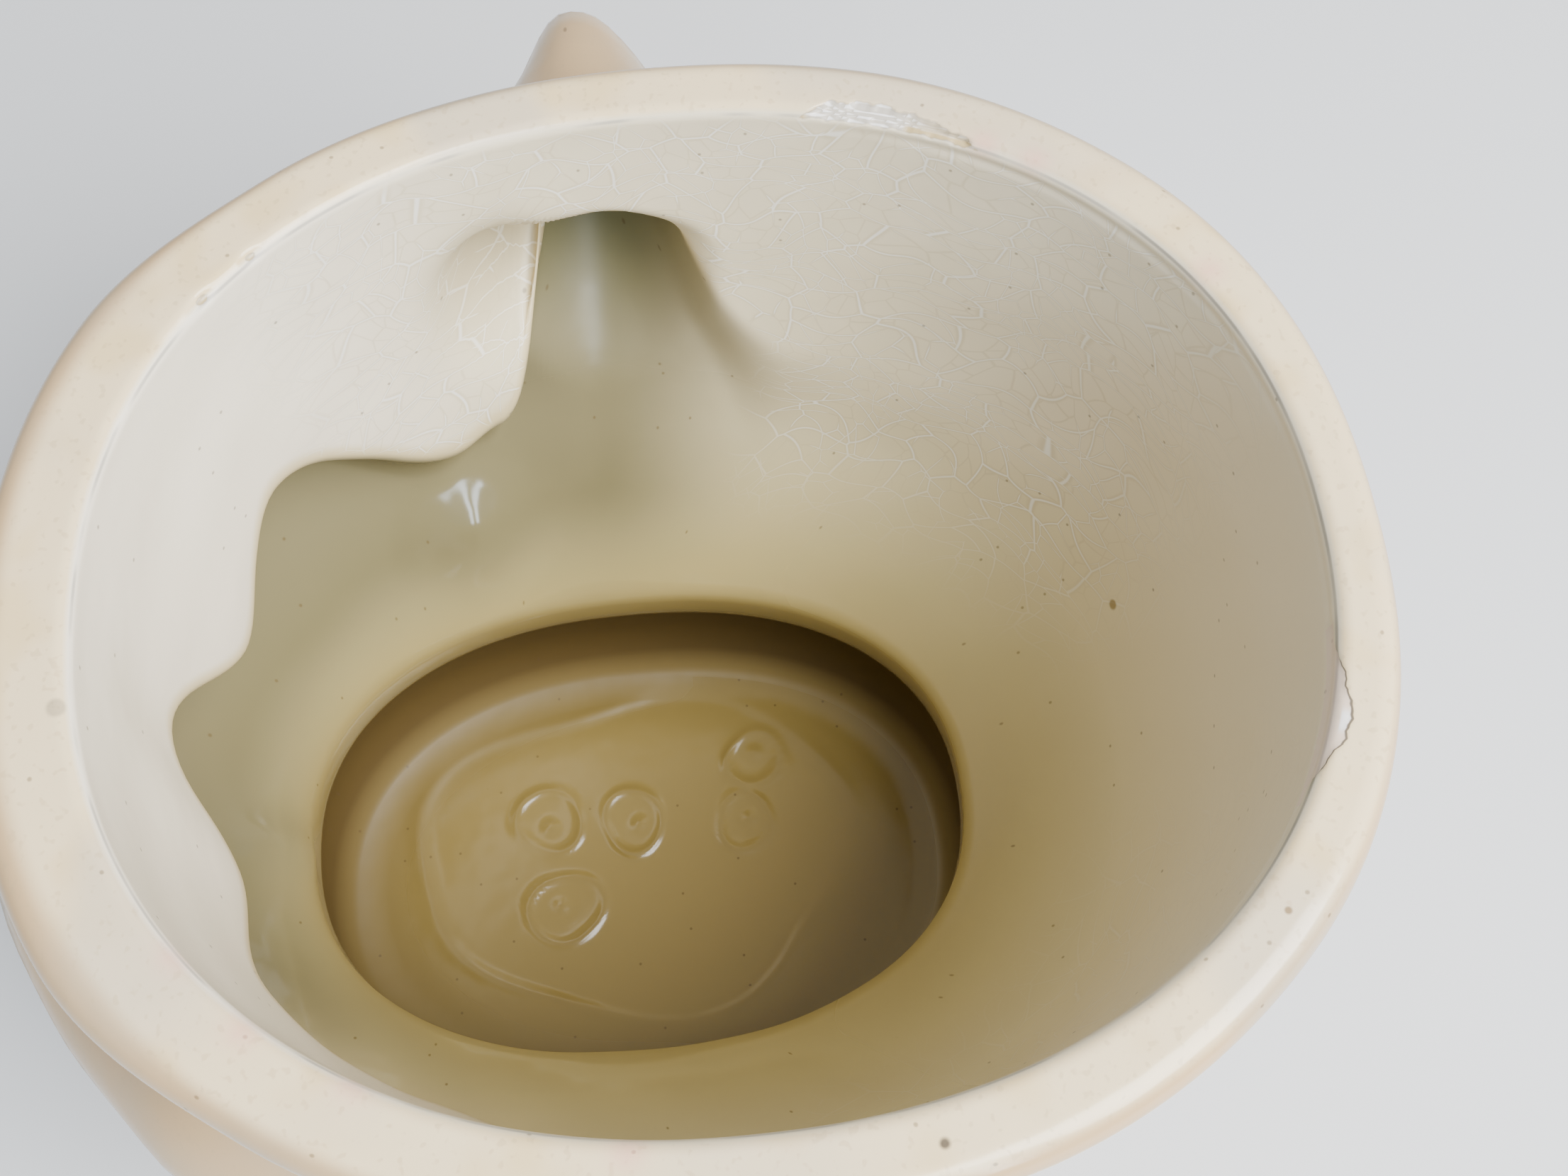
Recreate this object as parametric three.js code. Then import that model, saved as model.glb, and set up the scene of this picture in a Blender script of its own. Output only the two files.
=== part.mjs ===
// Body of a slip-cast, glazed earthenware cookie jar, without its lid.
// One closed skin runs from the middle of the underside, up the outside, over the rim,
// down the inside and across the floor. Millimetres, +Z up, front towards -Y.
// The origin is at the middle of the jar's box, on the surface that the jar stands on.
import * as THREE from 'three';

// Mouth and rim
const rimHeight = 176;
const mouthHalfLength = 84.4;
const mouthHalfWidth = 74.5;
const mouthSquareness = 2.18;
const rimBand = 11.3;
const rimInnerRadius = 2.2;
const rimOuterRadius = 4.2;
const rimBandDepth = 45;

// Walls
const wall = 9;
const floorThickness = 8;

// Neck between the head and the foot
const neckDepth = 119;
const neckHalfLength = 65.2;
const neckHalfWidth = 46.6;
const neckSquareness = 2.25;
const headBack = 15.9;
const neckLipHeight = 8;

// Foot, with the wide hollow inside it
const footHalfLength = 83;
const footHalfWidth = 64;
const footFlareHeight = 20;
const floorCornerRadius = 14;
const footEdgeRadius = 3;
const footRecessDepth = 2;
const footRecessHalfLength = 50;
const footRecessHalfWidth = 40;

// Form of the head, with lengths in millimetres and places as shares of neckDepth
const bowlStart = 0.35;
const bowlTurn = 0.96;
const bowlDrop = 8;
const cheekDepth = 30;
const cheekEnd = 0.4;
const cheekRiseInside = 20;
const cheekRiseOutside = 28;
const pinchDepth = 2.5;
const pinchReachUp = 45;
const pinchRimFade = 30;
const pinchEdge = 4;
const pinchReachDown = 20;
const earLength = 38;
const earHalfWidth = 22;
const earReachUp = 17;
const earReachDown = 42;
const earForward = 14.4;
const earPlace = 0.333;
const earRoundness = 1.06;
const earLean = 0.12;
const earFold = 0.42;
const earFoldAbove = 1;
const earFoldBelow = 5;
const pocketDepth = 8;
const pocketHalfWidth = 15;
const pocketHalfHeight = 20;
const pocketForward = 28.9;
const pocketPlace = 0.34;
const pocketSoftness = 0.7;
const pocketLipAbove = 4;
const pocketLipBelow = 2;

// Wavy seam round the head: degrees from the front, depth below the rim as a share of neckDepth
const seamInside = [[0, 0.383], [15, 0.542], [31, 0.408], [57, 0.633], [66, 0.583], [80, 0.208],
  [108, 0.55], [180, 0.617]];
const seamOutside = [[0, 0.33], [16, 0.43], [33, 0.35], [57, 0.5], [66, 0.46], [80, 0.15],
  [108, 0.46], [180, 0.55]];
const rowsOutside = [[0, 0.33], [16, 0.43], [33, 0.35], [57, 0.48], [80, 0.4], [108, 0.46],
  [180, 0.55]];

// Width of the rim's band: degrees from the front, share of rimBand
const bandLine = [[0, 1.22], [28, 1.26], [48, 1.04], [70, 1], [110, 1], [140, 0.91], [180, 0.82]];

// Fullness of the cheeks under the seam: degrees from the front, share of cheekDepth
const cheekLine = [[0, 0.97], [10, 0.98], [34, 0.67], [55, 0.49], [78, 0.32], [100, 0.2], [180, 0.17]];

// How soft the step at the seam is: degrees from the front, share of the cheek's rise
const softLine = [[0, 1], [60, 1], [90, 1.3], [120, 2], [180, 2.5]];

// How far the wall above the seam leans in: degrees from the front, share of pinchDepth
const pinchLine = [[0, -0.4], [15, 1], [31, 0.4], [60, 0.8], [80, 0], [180, -0.6]];

// Grid of the skin: columns in three bands of one half, by degrees from the front
const columnBands = [
  { end: 60, columns: 13 },
  { end: 100, columns: 21 },
  { end: 180, columns: 9 },
];
const upperRows = 4;
const lowerRows = 11;
const seamStep = 3;
const roundRows = 2;
const rowSpread = 1.2;
const flareRowsOutside = [0, 0.4, 0.75];
const flareRowsInside = [0.4, 1];

const degree = Math.PI / 180;
const neckZ = rimHeight - neckDepth;
const footTopZ = neckZ - neckLipHeight;

function ease(start, end, value) {
  const share = THREE.MathUtils.clamp((value - start) / (end - start), 0, 1);
  return share * share * (3 - 2 * share);
}

// Value on a wavy line that runs level through each of its points
function waveAt(line, position) {
  let next = 1;
  while (next < line.length - 1 && line[next][0] < position) next += 1;
  const [x0, y0] = line[next - 1];
  const [x1, y1] = line[next];
  return y0 + (y1 - y0) * ease(x0, x1, position);
}

// Distance from the middle to a rounded oval, by direction from the front
function ovalRadius(angle, halfLength, halfWidth, squareness) {
  const along = Math.abs(Math.cos(angle)) / halfLength;
  const across = Math.abs(Math.sin(angle)) / halfWidth;
  return (along ** squareness + across ** squareness) ** (-1 / squareness);
}

// Point on an oval at a height z, round a centre that sits back from the foot's middle
function ovalPoint(angle, halfLength, halfWidth, squareness, back, z) {
  const radius = ovalRadius(angle, halfLength, halfWidth, squareness);
  return new THREE.Vector3(radius * Math.sin(angle), back - radius * Math.cos(angle), z);
}

// Point on the head's skin at a height z, a distance out from the inner face
function headPoint(angle, z, out) {
  const fromFront = Math.abs(angle) / degree;
  const bowlDepth = (1 - bowlStart) * neckDepth + (out > 0 ? bowlDrop : 0);
  const descent = THREE.MathUtils.clamp((rimHeight - bowlStart * neckDepth - z) / bowlDepth, 0, 1);
  const reach = bowlTurn * descent;
  const narrowing = (1 - Math.sqrt(1 - reach ** 2)) / (1 - Math.sqrt(1 - bowlTurn ** 2));
  const mix = (a, b) => THREE.MathUtils.lerp(a, b, narrowing);
  const point = ovalPoint(angle, mix(mouthHalfLength, neckHalfLength) + out,
    mix(mouthHalfWidth, neckHalfWidth) + out, mix(mouthSquareness, neckSquareness),
    mix(headBack, 0), z);
  const below = lineHeight(out > 0 ? seamOutside : seamInside, angle) - z;
  const soft = (out > 0 ? cheekRiseOutside : cheekRiseInside) * waveAt(softLine, fromFront);
  const bulge = cheekDepth * waveAt(cheekLine, fromFront)
    * ease(0, soft, below) * (1 - ease(cheekEnd, 1, descent));
  const pinch = pinchDepth * waveAt(pinchLine, fromFront)
    * ease(-pinchReachUp, -pinchEdge, below) * (1 - ease(0, pinchReachDown, below))
    * ease(0, pinchRimFade, rimHeight - z);
  point.x += (bulge - pinch) * Math.sin(angle);
  point.y -= (bulge - pinch) * Math.cos(angle);
  const lift = earLift(point, below, out);
  const hollow = out > 0 ? 0 : earPocket(point, below);
  point.x += Math.sign(point.x) * (lift + hollow);
  point.z += earLean * lift;
  return point;
}

// Width of the rim's band, by direction from the front
function bandWidth(angle) {
  return rimBand * waveAt(bandLine, Math.abs(angle) / degree);
}

// Height of a line round the head, by direction from the front
function lineHeight(line, angle) {
  return rimHeight - neckDepth * waveAt(line, Math.abs(angle) / degree);
}

// How far the ear carries a point of the side wall outwards
function earLift(point, below, out) {
  const across = (point.y - headBack + earForward) / (earHalfWidth + out);
  const rise = point.z - (rimHeight - earPlace * neckDepth);
  const up = rise > 0 ? rise / (earReachUp + out) : rise / (earReachDown + out);
  const lobe = ease(0, 1, earRoundness - Math.hypot(across, up));
  const fold = out > 0 ? 1 : THREE.MathUtils.lerp(earFold, 1, ease(-earFoldAbove, earFoldBelow, below));
  return earLength * lobe * fold;
}

// Depth of the small pocket in the inner face, in front of the ear's hollow
function earPocket(point, below) {
  const across = (point.y - headBack + pocketForward) / pocketHalfWidth;
  const rise = (point.z - (rimHeight - pocketPlace * neckDepth)) / pocketHalfHeight;
  return pocketDepth * ease(0, pocketSoftness, 1 - Math.hypot(across, rise))
    * ease(pocketLipBelow, -pocketLipAbove, below);
}

// Heights of the rows on one face of the head, from just under the rim down to the neck
function headHeights(line, angle, top, bottom) {
  const seam = lineHeight(line, angle);
  const heights = [];
  for (let row = 0; row <= upperRows; row += 1) {
    heights.push(THREE.MathUtils.lerp(top, seam + seamStep, row / (upperRows + 1)));
  }
  heights.push(seam + seamStep, seam, seam - seamStep);
  for (let row = 1; row <= lowerRows; row += 1) {
    const share = (row / lowerRows) ** rowSpread;
    heights.push(THREE.MathUtils.lerp(seam - seamStep, bottom, share));
  }
  return heights;
}

// Points of one column of the outside, from the underside up to the rim
function outerColumn(angle) {
  const column = [];
  const foot = (inset, z) => ovalPoint(angle, footHalfLength - inset, footHalfWidth - inset,
    neckSquareness, 0, z);
  const recess = (grow, z) => ovalPoint(angle, footRecessHalfLength + grow,
    footRecessHalfWidth + grow, neckSquareness, 0, z);
  column.push(recess(0, footRecessDepth), recess(footRecessDepth, 0));
  for (let step = 0; step <= roundRows; step += 1) {
    const turn = step / roundRows * Math.PI / 2;
    column.push(foot(footEdgeRadius * (1 - Math.sin(turn)), footEdgeRadius * (1 - Math.cos(turn))));
  }
  const shoulderZ = footTopZ - footFlareHeight;
  const waistZ = neckZ - bowlDrop;
  const waistLength = neckHalfLength + wall;
  const waistWidth = neckHalfWidth + wall;
  for (const share of flareRowsOutside) {
    const flare = Math.cos(share * Math.PI) / 2 + 0.5;
    column.push(ovalPoint(angle, THREE.MathUtils.lerp(waistLength, footHalfLength, flare),
      THREE.MathUtils.lerp(waistWidth, footHalfWidth, flare), neckSquareness, 0,
      THREE.MathUtils.lerp(shoulderZ, waistZ, share)));
  }
  const heights = headHeights(rowsOutside, angle, rimHeight - rimOuterRadius, waistZ).reverse();
  for (const z of heights) {
    const thicken = (bandWidth(angle) - wall)
      * ease(rimHeight - rimBandDepth, rimHeight - rimOuterRadius, z);
    column.push(headPoint(angle, z, wall + thicken));
  }
  return column;
}

// Points of the rim's top, rounded at both edges with a flat seat between them
function rimColumn(angle) {
  const column = [];
  const seat = (out, z) => headPoint(angle, rimHeight, out).setZ(z);
  for (let step = 1; step <= roundRows; step += 1) {
    const turn = step / roundRows * Math.PI / 2;
    column.push(seat(bandWidth(angle) - rimOuterRadius * (1 - Math.cos(turn)),
      rimHeight - rimOuterRadius * (1 - Math.sin(turn))));
  }
  for (let step = roundRows; step >= 1; step -= 1) {
    const turn = step / roundRows * Math.PI / 2;
    column.push(seat(rimInnerRadius * (1 - Math.cos(turn)),
      rimHeight - rimInnerRadius * (1 - Math.sin(turn))));
  }
  return column;
}

// Points of one column of the inside, from the rim down to the edge of the flat floor
function innerColumn(angle) {
  const column = headHeights(seamInside, angle, rimHeight - rimInnerRadius, neckZ)
    .map((z) => headPoint(angle, z, 0));
  const cornerZ = floorThickness + floorCornerRadius;
  const hollowLength = footHalfLength - wall;
  const hollowWidth = footHalfWidth - wall;
  column.push(ovalPoint(angle, neckHalfLength, neckHalfWidth, neckSquareness, 0, footTopZ));
  for (const share of flareRowsInside) {
    const flare = 0.5 - Math.cos(share * Math.PI) / 2;
    column.push(ovalPoint(angle, THREE.MathUtils.lerp(neckHalfLength, hollowLength, flare),
      THREE.MathUtils.lerp(neckHalfWidth, hollowWidth, flare), neckSquareness, 0,
      THREE.MathUtils.lerp(footTopZ, footTopZ - footFlareHeight, share)));
  }
  for (let step = 0; step <= roundRows + 1; step += 1) {
    const turn = step / (roundRows + 1) * Math.PI / 2;
    const inset = floorCornerRadius * (1 - Math.cos(turn));
    column.push(ovalPoint(angle, hollowLength - inset, hollowWidth - inset, neckSquareness,
      0, cornerZ - floorCornerRadius * Math.sin(turn)));
  }
  return column;
}

// Directions of the columns all the way round, measured from the front
function columnAngles() {
  const half = [];
  let start = 0;
  for (const band of columnBands) {
    for (let index = 0; index < band.columns; index += 1) {
      half.push(start + (band.end - start) * index / band.columns);
    }
    start = band.end;
  }
  const mirrored = half.slice(1).reverse().map((angle) => -angle);
  return [...half, 180, ...mirrored].map((angle) => angle * degree);
}

// Closed skin from columns of points, with one pole under the foot and one on the floor.
// Each four-sided patch is parted along its shorter diagonal.
function skinGeometry(columns, lowPole, highPole) {
  const rows = columns[0].length;
  const positions = [];
  for (const column of columns) {
    for (const point of column) positions.push(point.x, point.y, point.z);
  }
  const low = columns.length * rows;
  const high = low + 1;
  positions.push(...lowPole.toArray(), ...highPole.toArray());
  const index = [];
  for (let column = 0; column < columns.length; column += 1) {
    const next = (column + 1) % columns.length;
    const here = column * rows;
    const there = next * rows;
    index.push(low, there, here);
    for (let row = 0; row < rows - 1; row += 1) {
      const rising = columns[column][row].distanceTo(columns[next][row + 1]);
      const falling = columns[next][row].distanceTo(columns[column][row + 1]);
      if (rising < falling) {
        index.push(here + row, there + row + 1, here + row + 1);
        index.push(here + row, there + row, there + row + 1);
      } else {
        index.push(here + row, there + row, here + row + 1);
        index.push(there + row, there + row + 1, here + row + 1);
      }
    }
    index.push(high, here + rows - 1, there + rows - 1);
  }
  const geometry = new THREE.BufferGeometry();
  geometry.setAttribute('position', new THREE.Float32BufferAttribute(positions, 3));
  geometry.setIndex(index);
  geometry.computeVertexNormals();
  return geometry;
}

const columns = columnAngles().map((angle) => [
  ...outerColumn(angle),
  ...rimColumn(angle),
  ...innerColumn(angle),
]);
const skin = skinGeometry(columns, new THREE.Vector3(0, 0, footRecessDepth),
  new THREE.Vector3(0, 0, floorThickness));
skin.computeBoundingBox();
skin.translate(0, -(skin.boundingBox.min.y + skin.boundingBox.max.y) / 2, 0);
const jarBody = new THREE.Mesh(
  skin,
  new THREE.MeshStandardMaterial({ color: 0xe6dcc0, roughness: 0.25, metalness: 0 }),
);
jarBody.name = 'jar_body';

const jar = new THREE.Group();
jar.add(jarBody);

export default jar;
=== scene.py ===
import bpy
import numpy as np
from mathutils import Matrix, Vector


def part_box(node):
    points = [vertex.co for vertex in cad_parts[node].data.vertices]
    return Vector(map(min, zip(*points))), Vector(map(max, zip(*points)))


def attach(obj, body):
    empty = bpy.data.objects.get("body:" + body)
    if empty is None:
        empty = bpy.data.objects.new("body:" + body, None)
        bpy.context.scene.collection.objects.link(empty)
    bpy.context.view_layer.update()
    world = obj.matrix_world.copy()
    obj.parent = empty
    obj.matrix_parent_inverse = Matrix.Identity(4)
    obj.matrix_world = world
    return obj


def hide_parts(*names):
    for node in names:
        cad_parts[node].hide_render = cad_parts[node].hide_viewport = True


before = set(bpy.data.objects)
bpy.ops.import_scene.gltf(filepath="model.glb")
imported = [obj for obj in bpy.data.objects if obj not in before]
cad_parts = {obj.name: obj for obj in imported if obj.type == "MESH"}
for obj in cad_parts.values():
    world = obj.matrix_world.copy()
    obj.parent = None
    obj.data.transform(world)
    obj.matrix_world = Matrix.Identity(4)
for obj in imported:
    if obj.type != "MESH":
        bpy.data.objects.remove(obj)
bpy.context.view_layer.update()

# Camera and floor
# The jar stands on a pale matt table top with its front towards -Y. It is looked into from above
# its +X side, from about 20 cm over the rim, through a normal lens.
LENS_MM = 37.9
SENSOR_MM = 36.0
CAMERA_PLACE = (0.0930, 0.0091, 0.3784)
CAMERA_LOOK = (-0.3948, 0.0649, -0.9164)
CAMERA_UP = (-0.9124, 0.0892, 0.3994)
CAMERA_CLIP = 0.01
FLOOR_HALF = 1.6
FLOOR_COLOUR = "DCDDDE"
FLOOR_ROUGHNESS = 0.9


def linear(hex_colour):
    """Linear red, green and blue of an sRGB hex colour, each by the sRGB curve."""
    channels = np.array([int(hex_colour[i:i + 2], 16) for i in (0, 2, 4)]) / 255
    curved = np.where(channels > 0.04045, ((channels + 0.055) / 1.055) ** 2.4, channels / 12.92)
    return (*curved.tolist(), 1.0)


def add_node(tree, kind, inputs=None, **settings):
    """Add one node, set its properties, and fill its inputs from values or other sockets."""
    node = tree.nodes.new(kind)
    for name, value in settings.items():
        setattr(node, name, value)
    for name, value in (inputs or {}).items():
        if isinstance(value, bpy.types.NodeSocket):
            tree.links.new(value, node.inputs[name])
        else:
            node.inputs[name].default_value = value
    return node


look = Vector(CAMERA_LOOK).normalized()
side = look.cross(Vector(CAMERA_UP)).normalized()
up = side.cross(look)
camera_data = bpy.data.cameras.new("camera")
camera_data.lens = LENS_MM
camera_data.sensor_width = SENSOR_MM
camera_data.clip_start = CAMERA_CLIP
camera = bpy.data.objects.new("camera", camera_data)
camera.matrix_world = Matrix.Translation(CAMERA_PLACE) @ Matrix((side, up, -look)).transposed().to_4x4()
bpy.context.scene.collection.objects.link(camera)
bpy.context.scene.camera = camera

floor_mesh = bpy.data.meshes.new("table_top")
floor_mesh.from_pydata([(-FLOOR_HALF, -FLOOR_HALF, 0), (FLOOR_HALF, -FLOOR_HALF, 0),
                        (FLOOR_HALF, FLOOR_HALF, 0), (-FLOOR_HALF, FLOOR_HALF, 0)], [], [(0, 1, 2, 3)])
table_top = bpy.data.objects.new("table_top", floor_mesh)
bpy.context.scene.collection.objects.link(table_top)
table_paint = bpy.data.materials.new("matt_table_paint")
table_paint.use_nodes = True
table_shader = table_paint.node_tree.nodes["Principled BSDF"]
table_shader.inputs["Base Color"].default_value = linear(FLOOR_COLOUR)
table_shader.inputs["Roughness"].default_value = FLOOR_ROUGHNESS
floor_mesh.materials.append(table_paint)

# Light
# Soft daylight from a large window behind the jar on its +X side, from a narrow one in two panes
# straight out on that side, and from a pale room.
WINDOW_WATTS = 40.0
WINDOW_PLACE = (0.42, 0.62, 1.05)
WINDOW_SIZE = (0.70, 0.85)
PANE_WATTS = 2.4
PANE_PLACES = ((0.62, 0.16, 0.63), (0.60, 0.25, 0.63))
PANE_SIZE = (0.045, 0.70)
PANE_COLOUR = "DCEBFA"
LIGHT_AIM = (0, 0, 0.15)
ROOM_COLOUR = "DDE3EA"
ROOM_STRENGTH = 0.72


def window_light(name, watts, place, size, colour="FFFFFF"):
    """Rectangular area light at a place, turned to face the jar's mouth."""
    light = bpy.data.lights.new(name, "AREA")
    light.shape = "RECTANGLE"
    light.energy = watts
    light.color = linear(colour)[:3]
    light.size, light.size_y = size
    holder = bpy.data.objects.new(name, light)
    holder.location = place
    aim = Vector(LIGHT_AIM) - Vector(place)
    holder.rotation_euler = aim.to_track_quat("-Z", "Y").to_euler()
    bpy.context.scene.collection.objects.link(holder)


window_light("window", WINDOW_WATTS, WINDOW_PLACE, WINDOW_SIZE)
for pane, place in enumerate(PANE_PLACES, 1):
    window_light(f"narrow_pane_{pane}", PANE_WATTS, place, PANE_SIZE, PANE_COLOUR)
room = bpy.data.worlds.new("room")
room.use_nodes = True
background = room.node_tree.nodes["Background"]
background.inputs["Color"].default_value = linear(ROOM_COLOUR)
background.inputs["Strength"].default_value = ROOM_STRENGTH
bpy.context.scene.world = room

# Jar body
# One slip-cast earthenware shell: an oval head with full cheeks under a wavy seam, a hollow ear
# on each side and a waisted foot. Plaster moulds give it soft, even walls of about 9 mm.
MM = 0.001
RIM_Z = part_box("jar_body")[1][2] / MM
MOUTH_LENGTH, MOUTH_WIDTH, MOUTH_SQUARENESS = 84.4, 74.5, 2.18
NECK_LENGTH, NECK_WIDTH, NECK_SQUARENESS = 65.2, 46.6, 2.25
RIM_BAND = 11.3
RIM_BAND_DEPTH = 45.0
RIM_INNER_RADIUS = 2.2
RIM_OUTER_RADIUS = 4.2
WALL = 9.0
NECK_DEPTH = 119.0
HEAD_BACK = 15.9
NECK_LIP = 8.0
BOWL_START, BOWL_TURN, BOWL_DROP = 0.35, 0.96, 8.0
CHEEK_DEPTH, CHEEK_END = 30.0, 0.4
CHEEK_RISE_INSIDE, CHEEK_RISE_OUTSIDE = 20.0, 28.0
PINCH_DEPTH, PINCH_REACH_UP, PINCH_REACH_DOWN, PINCH_EDGE, PINCH_RIM_FADE = 2.5, 45.0, 20.0, 4.0, 30.0
EAR_LENGTH, EAR_HALF_WIDTH, EAR_REACH_UP, EAR_REACH_DOWN = 38.0, 22.0, 17.0, 42.0
EAR_FORWARD, EAR_PLACE, EAR_ROUNDNESS, EAR_LEAN = 14.4, 0.333, 1.06, 0.12
EAR_FOLD, EAR_FOLD_ABOVE, EAR_FOLD_BELOW = 0.42, 4.0, 8.0
POCKET_DEPTH, POCKET_HALF_WIDTH, POCKET_HALF_HEIGHT = 8.0, 15.0, 20.0
POCKET_FORWARD, POCKET_PLACE, POCKET_SOFTNESS = 28.9, 0.34, 0.7
POCKET_LIP_ABOVE, POCKET_LIP_BELOW = 4.0, 2.0
FOOT_LENGTH, FOOT_WIDTH, FOOT_FLARE = 83.0, 64.0, 20.0
FLOOR_THICKNESS, FLOOR_CORNER, FOOT_EDGE = 8.0, 14.0, 3.0
RECESS_DEPTH, RECESS_LENGTH, RECESS_WIDTH = 2.0, 50.0, 40.0
NECK_Z = RIM_Z - NECK_DEPTH
FOOT_TOP_Z = NECK_Z - NECK_LIP
# Rows of the skin: step of the close ones under the rim, reach of the close ones at the seam with
# their shares of it, and how the rows spread out below
CLOSE_STEP = 0.55
SEAM_REACH = 3.0
SEAM_SHARES = (1, 0.6, 0.3, 0, -0.3, -0.6, -1)
ROW_SPREAD = 1.2
# How many rows are close under the top, lie above the seam and lie below it
OUTER_COUNTS, INNER_COUNTS = (0, 12, 30), (9, 16, 44)
# Rows of the foot, of the rim's rounds and seat, and of the hollow foot and its flat floor
RECESS_SHARES = (0.3, 0.6, 0.85, 0.97)
RECESS_EDGE_ROWS, FOOT_EDGE_ROWS, WAIST_ROWS = 4, 7, 16
ROUND_ROWS, SEAT_ROWS = 9, 11
HOLLOW_ROWS, CORNER_ROWS, FLOOR_ROWS = 9, 9, 70

# Lines round the head: degrees from the front, then a share of the neck's depth,
# of the band, of the cheek, of the seam's softness and of the pinch above it
SEAM_INSIDE = ((0, 15, 31, 56, 63, 80, 108, 180), (0.383, 0.542, 0.408, 0.628, 0.60, 0.208, 0.55, 0.617))
SEAM_OUTSIDE = ((0, 16, 33, 57, 66, 80, 108, 180), (0.33, 0.43, 0.35, 0.5, 0.46, 0.15, 0.46, 0.55))
ROWS_OUTSIDE = ((0, 16, 33, 57, 80, 108, 180), (0.33, 0.43, 0.35, 0.48, 0.4, 0.46, 0.55))
BAND_LINE = ((0, 28, 48, 70, 110, 140, 180), (1.22, 1.26, 1.04, 1, 1, 0.91, 0.82))
CHEEK_LINE = ((0, 10, 34, 55, 78, 100, 180), (0.97, 0.98, 0.67, 0.49, 0.32, 0.2, 0.17))
SOFT_LINE = ((0, 60, 90, 120, 180), (1, 1, 1.3, 2, 2.5))
PINCH_LINE = ((0, 15, 31, 60, 80, 180), (-0.4, 1, 0.4, 0.8, 0, -0.6))


def ease(start, end, value):
    """Smooth step from 0 to 1 between start and end: 3 t squared minus 2 t cubed."""
    t = np.clip((value - start) / (end - start), 0, 1)
    return t * t * (3 - 2 * t)


def wave_at(line, position):
    """Value on a wavy line that runs level through each of its points, eased between them."""
    knots, values = np.array(line[0], float), np.array(line[1], float)
    i = np.clip(np.searchsorted(knots, position), 1, len(knots) - 1)
    return values[i - 1] + (values[i] - values[i - 1]) * ease(knots[i - 1], knots[i], position)


def oval(angle, length, width, squareness, back, z):
    """Superellipse of half length and half width round (0, back), angle taken from the front."""
    along, across = np.abs(np.cos(angle)) / length, np.abs(np.sin(angle)) / width
    radius = (along ** squareness + across ** squareness) ** (-1 / squareness)
    x, y = radius * np.sin(angle), back - radius * np.cos(angle)
    return np.stack([x, y, np.broadcast_to(z, x.shape)], -1)


def line_height(line, angle):
    """Height of a wavy line round the head: the rim's height less its share of the neck's depth."""
    return RIM_Z - NECK_DEPTH * wave_at(line, np.degrees(np.abs(angle)))


def head(angle, z, out, outer):
    """Head's skin at a height, a distance out from the inner face.

    An oval shrinks from mouth to neck along a quarter ellipse. Under the seam the cheek's bulge is
    added along the radius, above it the pinch is taken away, and the ear's lobe and the pocket
    carry the side wall outwards along X.
    """
    from_front = np.degrees(np.abs(angle))
    bowl_depth = (1 - BOWL_START) * NECK_DEPTH + (BOWL_DROP if outer else 0)
    descent = np.clip((RIM_Z - BOWL_START * NECK_DEPTH - z) / bowl_depth, 0, 1)
    narrowing = (1 - np.sqrt(1 - (BOWL_TURN * descent) ** 2)) / (1 - np.sqrt(1 - BOWL_TURN ** 2))
    point = oval(angle, MOUTH_LENGTH + (NECK_LENGTH - MOUTH_LENGTH) * narrowing + out,
                 MOUTH_WIDTH + (NECK_WIDTH - MOUTH_WIDTH) * narrowing + out,
                 MOUTH_SQUARENESS + (NECK_SQUARENESS - MOUTH_SQUARENESS) * narrowing,
                 HEAD_BACK * (1 - narrowing), z)
    below = line_height(SEAM_OUTSIDE if outer else SEAM_INSIDE, angle) - z
    rise = (CHEEK_RISE_OUTSIDE if outer else CHEEK_RISE_INSIDE) * wave_at(SOFT_LINE, from_front)
    bulge = (CHEEK_DEPTH * wave_at(CHEEK_LINE, from_front) * ease(0, rise, below)
             * (1 - ease(CHEEK_END, 1, descent)))
    pinch = (PINCH_DEPTH * wave_at(PINCH_LINE, from_front) * ease(-PINCH_REACH_UP, -PINCH_EDGE, below)
             * (1 - ease(0, PINCH_REACH_DOWN, below)) * ease(0, PINCH_RIM_FADE, RIM_Z - z))
    point[..., 0] += (bulge - pinch) * np.sin(angle)
    point[..., 1] -= (bulge - pinch) * np.cos(angle)
    across = (point[..., 1] - HEAD_BACK + EAR_FORWARD) / (EAR_HALF_WIDTH + out)
    above = point[..., 2] - (RIM_Z - EAR_PLACE * NECK_DEPTH)
    along = above / (np.where(above > 0, EAR_REACH_UP, EAR_REACH_DOWN) + out)
    lobe = ease(0, 1, EAR_ROUNDNESS - np.hypot(across, along))
    fold = 1 if outer else EAR_FOLD + (1 - EAR_FOLD) * ease(-EAR_FOLD_ABOVE, EAR_FOLD_BELOW, below)
    lift = EAR_LENGTH * lobe * fold
    pocket = 0
    if not outer:
        beside = (point[..., 1] - HEAD_BACK + POCKET_FORWARD) / POCKET_HALF_WIDTH
        over = (point[..., 2] - (RIM_Z - POCKET_PLACE * NECK_DEPTH)) / POCKET_HALF_HEIGHT
        pocket = (POCKET_DEPTH * ease(0, POCKET_SOFTNESS, 1 - np.hypot(beside, over))
                  * ease(POCKET_LIP_BELOW, -POCKET_LIP_ABOVE, below))
    point[..., 0] += np.sign(point[..., 0]) * (lift + pocket)
    point[..., 2] += EAR_LEAN * lift
    return point


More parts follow.
